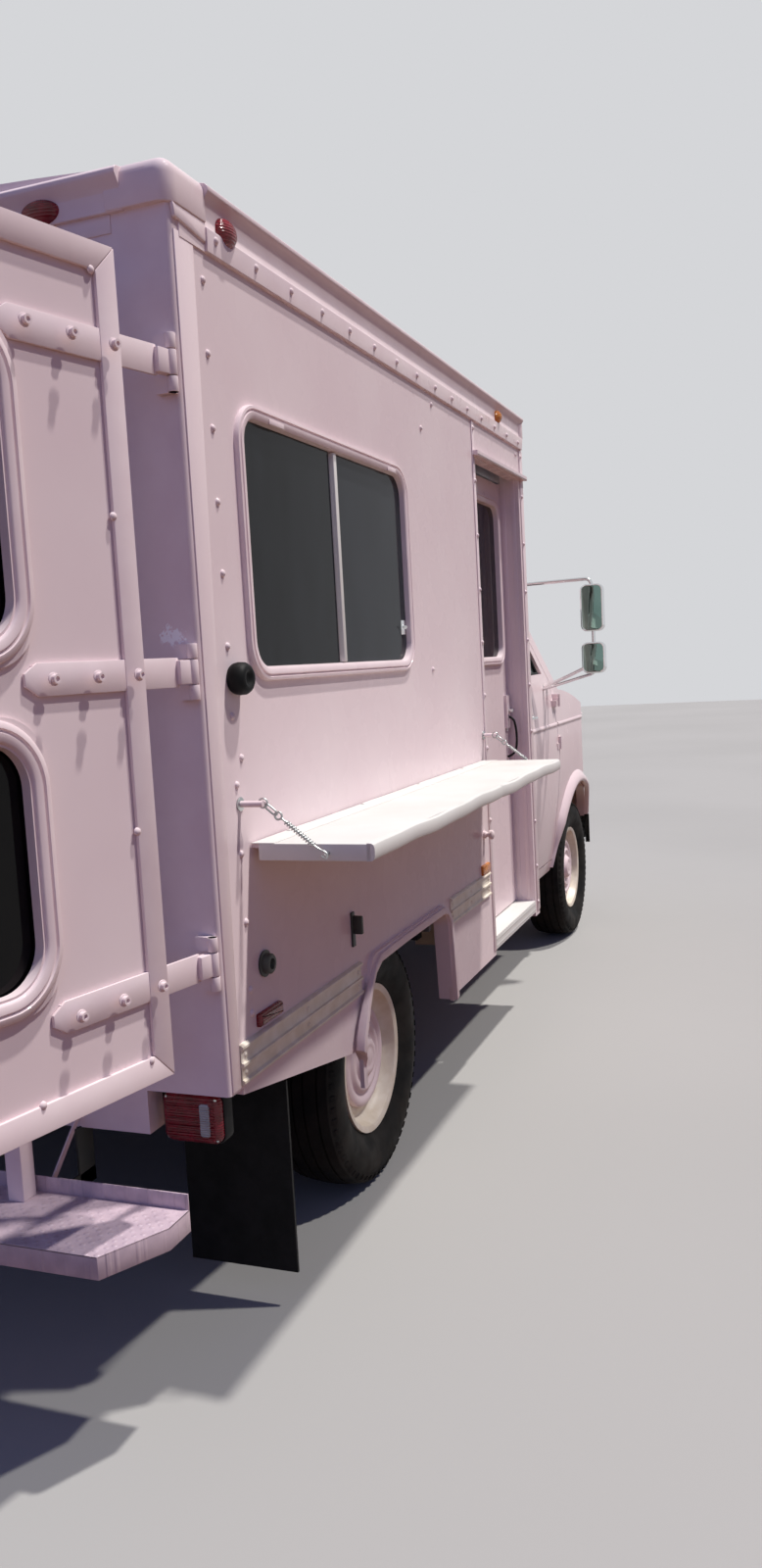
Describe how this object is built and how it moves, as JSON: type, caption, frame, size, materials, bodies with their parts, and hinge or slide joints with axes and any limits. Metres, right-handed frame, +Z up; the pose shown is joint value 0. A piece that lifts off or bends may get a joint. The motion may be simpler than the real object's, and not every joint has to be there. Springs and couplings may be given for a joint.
{
  "type": "box-bodied ice cream truck",
  "caption": "Short-nosed van cab with a riveted vending box: serving window with fold-up shelf, sliding entry door, strap-hinged rear doors and a plate step.",
  "frame": {"origin": "on the ground under the middle of the truck's bounding box", "axes": "+X forward, +Y to the truck's left, +Z up"},
  "size_m": [6.0514, 2.725, 2.6148],
  "materials": {
    "pink_paint": "pale dusty pink gloss coach paint",
    "white_paint": "white gloss paint",
    "cream_paint": "cream satin paint",
    "chassis_black": "black chassis paint",
    "tinted_glass": "dark tinted glass",
    "tyre": "black tyre rubber",
    "rubber": "black rubber",
    "bare_steel": "bare zinc-plated steel",
    "aluminium": "bare aluminium",
    "chrome": "polished chrome",
    "red_lens": "red lens plastic",
    "amber_lens": "amber lens plastic",
    "clear_lens": "clear lens glass",
    "cast_iron": "dull cast iron",
    "floor_sheet": "grey vinyl floor sheet",
    "seat_vinyl": "dark vinyl",
    "dash_plastic": "dark dash plastic"
  },
  "bodies": {
    "truck": {"amber_lamps": "amber_lens", "box_floor": "floor_sheet", "box_roof": "pink_paint", "cab_shell": "pink_paint", "crossmembers": "chassis_black", "dashboard": "dash_plastic", "door_track": "aluminium", "engine_block": "cast_iron", "entry_step": "aluminium", "exhaust": "bare_steel", "frame_rails": "chassis_black", "front_bumper": "chrome", "front_clip": "pink_paint", "front_suspension": "chassis_black", "front_wall": "white_paint", "fuel_tank": "chassis_black", "grille": "chrome", "headlamps": "clear_lens", "mud_flaps": "rubber", "rear_axle": "chassis_black", "rear_frame": "pink_paint", "rear_step": "pink_paint", "red_lamps": "red_lens", "rub_rails": "cream_paint", "seats": "seat_vinyl", "service_window_frame": "pink_paint", "service_window_glass": "tinted_glass", "side_wall_left": "pink_paint", "side_wall_right": "pink_paint", "windscreen": "tinted_glass"},
    "rear_wheel_right": {"tyre_rear_right": "tyre", "rim_rear_right": "white_paint"},
    "rear_wheel_left": {"tyre_rear_left": "tyre", "rim_rear_left": "white_paint"},
    "front_wheel_right": {"tyre_front_right": "tyre", "rim_front_right": "white_paint"},
    "front_wheel_left": {"tyre_front_left": "tyre", "rim_front_left": "white_paint"},
    "steering_right": {"knuckle_right": "cast_iron"},
    "steering_left": {"knuckle_left": "cast_iron"},
    "rear_door_right_leaf": {"rear_door_right": "pink_paint", "rear_glass_right": "tinted_glass"},
    "rear_door_left_leaf": {"rear_door_left": "pink_paint", "rear_glass_left": "tinted_glass"},
    "cab_door_right_leaf": {"cab_door_right": "pink_paint", "cab_glass_right": "tinted_glass", "mirror_right": "chrome"},
    "cab_door_left_leaf": {"cab_door_left": "pink_paint", "cab_glass_left": "tinted_glass", "mirror_left": "chrome"},
    "hood_panel": {"hood": "pink_paint"},
    "entry_door_leaf": {"entry_door": "pink_paint", "entry_door_glass": "tinted_glass"},
    "shelf": {"serving_shelf": "white_paint"},
    "rear_shelf_stay": {"stay_rear": "bare_steel"},
    "front_shelf_stay": {"stay_front": "bare_steel"}
  },
  "joints": [
    {"name": "rear_wheel_right_spin", "type": "hinge", "parent": "truck", "child": "rear_wheel_right", "pos_m": [-0.9018, -0.914, 0.373], "axis": [0, 1, 0], "continuous": true},
    {"name": "rear_wheel_left_spin", "type": "hinge", "parent": "truck", "child": "rear_wheel_left", "pos_m": [-0.9018, 0.914, 0.373], "axis": [0, 1, 0], "continuous": true},
    {"name": "steer_right", "type": "hinge", "parent": "truck", "child": "steering_right", "pos_m": [2.2842, -0.773, 0.373], "axis": [0, 0, 1], "range_deg": [-32, 32]},
    {"name": "steer_left", "type": "hinge", "parent": "truck", "child": "steering_left", "pos_m": [2.2842, 0.773, 0.373], "axis": [0, 0, 1], "range_deg": [-32, 32]},
    {"name": "front_wheel_right_spin", "type": "hinge", "parent": "steering_right", "child": "front_wheel_right", "pos_m": [2.2842, -0.878, 0.373], "axis": [0, 1, 0], "continuous": true},
    {"name": "front_wheel_left_spin", "type": "hinge", "parent": "steering_left", "child": "front_wheel_left", "pos_m": [2.2842, 0.878, 0.373], "axis": [0, 1, 0], "continuous": true},
    {"name": "rear_door_right_swing", "type": "hinge", "parent": "truck", "child": "rear_door_right_leaf", "pos_m": [-1.9708, -1.082, 1.56], "axis": [0, 0, 1], "range_deg": [-78, 122]},
    {"name": "rear_door_left_swing", "type": "hinge", "parent": "truck", "child": "rear_door_left_leaf", "pos_m": [-1.9708, 1.082, 1.56], "axis": [0, 0, -1], "range_deg": [0, 250]},
    {"name": "cab_door_right_swing", "type": "hinge", "parent": "truck", "child": "cab_door_right_leaf", "pos_m": [1.8872, -1.012, 1.21], "axis": [0, 0, 1], "range_deg": [0, 68]},
    {"name": "cab_door_left_swing", "type": "hinge", "parent": "truck", "child": "cab_door_left_leaf", "pos_m": [1.8872, 1.012, 1.21], "axis": [0, 0, -1], "range_deg": [0, 68]},
    {"name": "hood_lift", "type": "hinge", "parent": "truck", "child": "hood_panel", "pos_m": [2.0967, 0, 1.363], "axis": [0, -1, 0], "range_deg": [0, 60]},
    {"name": "entry_door_slide", "type": "slide", "parent": "truck", "child": "entry_door_leaf", "axis": [-1, 0, 0], "range_m": [0, 0.6]},
    {"name": "shelf_fold", "type": "hinge", "parent": "truck", "child": "shelf", "pos_m": [-0.8348, -1.102, 1.168], "axis": [-1, 0, 0], "range_deg": [0, 90]},
    {"name": "stay_rear_swing", "type": "hinge", "parent": "truck", "child": "rear_shelf_stay", "pos_m": [-1.8098, -1.14, 1.267], "axis": [1, 0, 0], "range_deg": [0, 51.12]},
    {"name": "stay_front_swing", "type": "hinge", "parent": "truck", "child": "front_shelf_stay", "pos_m": [0.1412, -1.14, 1.267], "axis": [1, 0, 0], "range_deg": [0, 51.12]}
  ],
  "couplings": [
    {"joint": "steer_left", "follows": "steer_right", "ratio": 1},
    {"joint": "stay_rear_swing", "follows": "shelf_fold", "ratio": 0.568},
    {"joint": "stay_front_swing", "follows": "shelf_fold", "ratio": 0.568}
  ]
}
